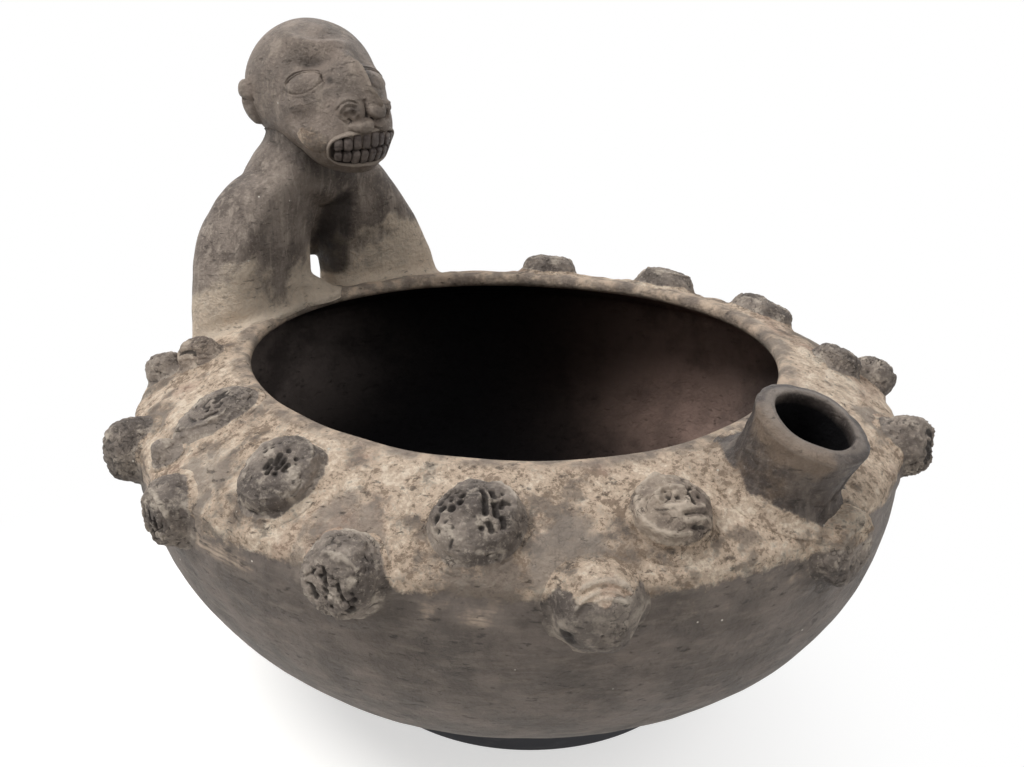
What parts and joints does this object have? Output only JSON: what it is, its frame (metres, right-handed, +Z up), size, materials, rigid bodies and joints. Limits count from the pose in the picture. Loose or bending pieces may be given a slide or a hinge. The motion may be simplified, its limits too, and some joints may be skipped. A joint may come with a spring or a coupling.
{
  "type": "terracotta bowl",
  "caption": "Round-bellied clay bowl on a loose ring stand, with bosses round the shoulder, a short leaning spout and a figure that grips the rim.",
  "frame": {"origin": "on the floor, under the middle of the whole object's box", "axes": "+Z up; +X from the figure across the bowl towards the spout; +Y to the figure's left"},
  "size_m": [0.38, 0.3704, 0.3086],
  "materials": {
    "bowl_clay": "low-fired unglazed clay, tan-grey patina on the shoulder, dark smoke-brown belly, matt and pitted",
    "spout_clay": "the same clay, grey-brown, tooled upwards, thin worn lip",
    "figure_clay": "the same clay, smoke-brown, burnished by handling, with tan dust at the foot of the arms",
    "boss_clay": "the same clay, smoke-brown, pricked with holes and rough",
    "teeth_clay": "the same clay, cut into square teeth",
    "stand": "blue-black, satin, smooth"
  },
  "bodies": {
    "stand": {"stand_ring": "stand"},
    "vessel": {"bowl_body": "bowl_clay", "spout": "spout_clay", "bust": "figure_clay", "right_arm": "figure_clay", "left_arm": "figure_clay", "head": "figure_clay", "right_eye": "figure_clay", "right_ear": "figure_clay", "left_eye": "figure_clay", "left_ear": "figure_clay", "nose": "figure_clay", "lips": "figure_clay", "upper_teeth": "teeth_clay", "lower_teeth": "teeth_clay", "boss_01": "boss_clay", "boss_02": "boss_clay", "boss_03": "boss_clay", "boss_04": "boss_clay", "boss_05": "boss_clay", "boss_06": "boss_clay", "boss_07": "boss_clay", "boss_08": "boss_clay", "boss_09": "boss_clay", "boss_10": "boss_clay", "boss_11": "boss_clay", "boss_12": "boss_clay", "boss_13": "boss_clay", "boss_14": "boss_clay", "boss_15": "boss_clay", "boss_16": "boss_clay", "boss_17": "boss_clay", "boss_18": "boss_clay", "boss_19": "boss_clay", "boss_20": "boss_clay", "boss_21": "boss_clay"}
  },
  "joints": [
    {"name": "vessel_lift", "type": "slide", "parent": "stand", "child": "vessel", "axis": [0, 0, 1], "range_m": [0, 0.1]}
  ]
}
